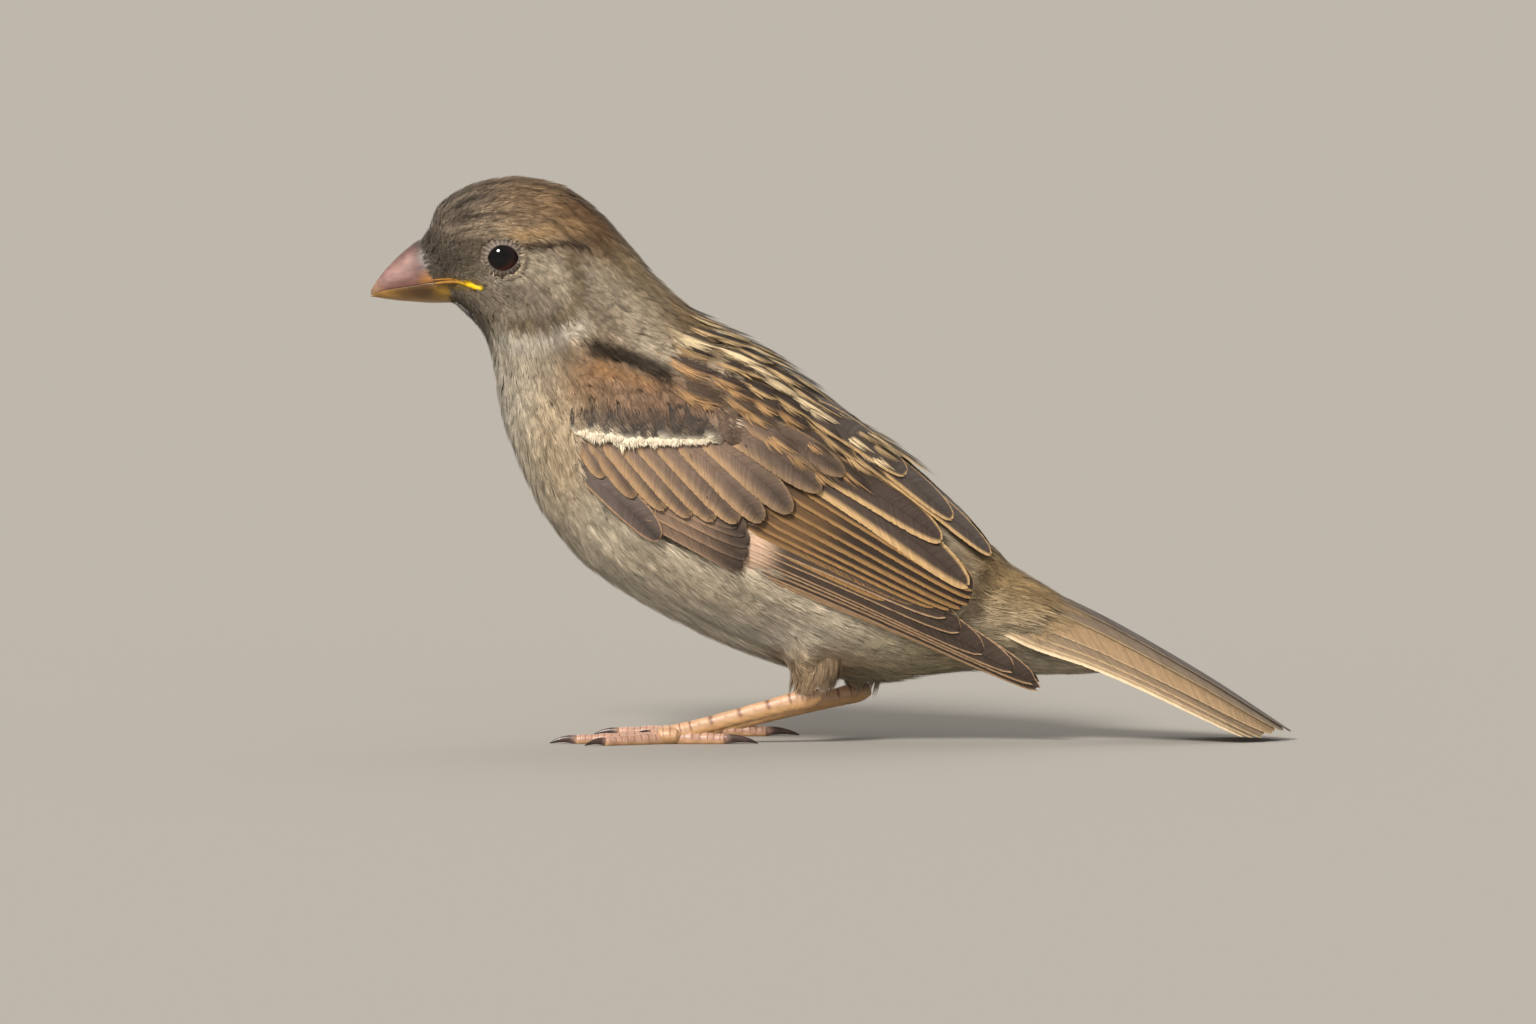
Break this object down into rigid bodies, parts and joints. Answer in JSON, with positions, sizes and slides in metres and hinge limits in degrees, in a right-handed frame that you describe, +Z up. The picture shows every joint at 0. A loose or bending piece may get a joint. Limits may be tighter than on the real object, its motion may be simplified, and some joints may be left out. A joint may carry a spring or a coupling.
{
  "type": "house sparrow",
  "caption": "Life-size still model of a young house sparrow standing with its wings folded and its tail tip on the floor.",
  "frame": {"origin": "on the floor under the middle of the bird's bounding box", "axes": "+Z up, -X towards the bill, -Y towards the bird's left side"},
  "size_m": [0.1333, 0.04, 0.0814],
  "materials": {
    "head_plumage": "short soft grey-brown feathers",
    "body_plumage": "soft buff-grey feathers, streaked on the back",
    "wing_feathers": "smooth dark-centred feathers with buff edges",
    "tail_feathers": "smooth grey-brown feathers with pale edges",
    "bill_horn": "smooth horn with a soft shine",
    "gape_skin": "soft yellow skin",
    "eye": "wet dark brown",
    "leg_skin": "scaled pinkish brown skin",
    "claw_horn": "dark horn"
  },
  "bodies": {
    "root": {"head": "head_plumage", "neck": "body_plumage", "trunk": "body_plumage", "rump": "body_plumage", "bill_upper": "bill_horn", "bill_lower": "bill_horn", "gape_left": "gape_skin", "eye_left": "eye", "gape_right": "gape_skin", "eye_right": "eye", "wing_left_coverts": "wing_feathers", "wing_left_secondaries": "wing_feathers", "wing_left_primaries": "wing_feathers", "wing_right_coverts": "wing_feathers", "wing_right_secondaries": "wing_feathers", "wing_right_primaries": "wing_feathers", "tail": "tail_feathers", "thigh_left": "body_plumage", "shank_left": "leg_skin", "foot_left": "leg_skin", "toe_inner_left": "leg_skin", "claw_inner_left": "claw_horn", "toe_middle_left": "leg_skin", "claw_middle_left": "claw_horn", "toe_outer_left": "leg_skin", "claw_outer_left": "claw_horn", "toe_hind_left": "leg_skin", "claw_hind_left": "claw_horn", "thigh_right": "body_plumage", "shank_right": "leg_skin", "foot_right": "leg_skin", "toe_inner_right": "leg_skin", "claw_inner_right": "claw_horn", "toe_middle_right": "leg_skin", "claw_middle_right": "claw_horn", "toe_outer_right": "leg_skin", "claw_outer_right": "claw_horn", "toe_hind_right": "leg_skin", "claw_hind_right": "claw_horn"}
  },
  "joints": []
}
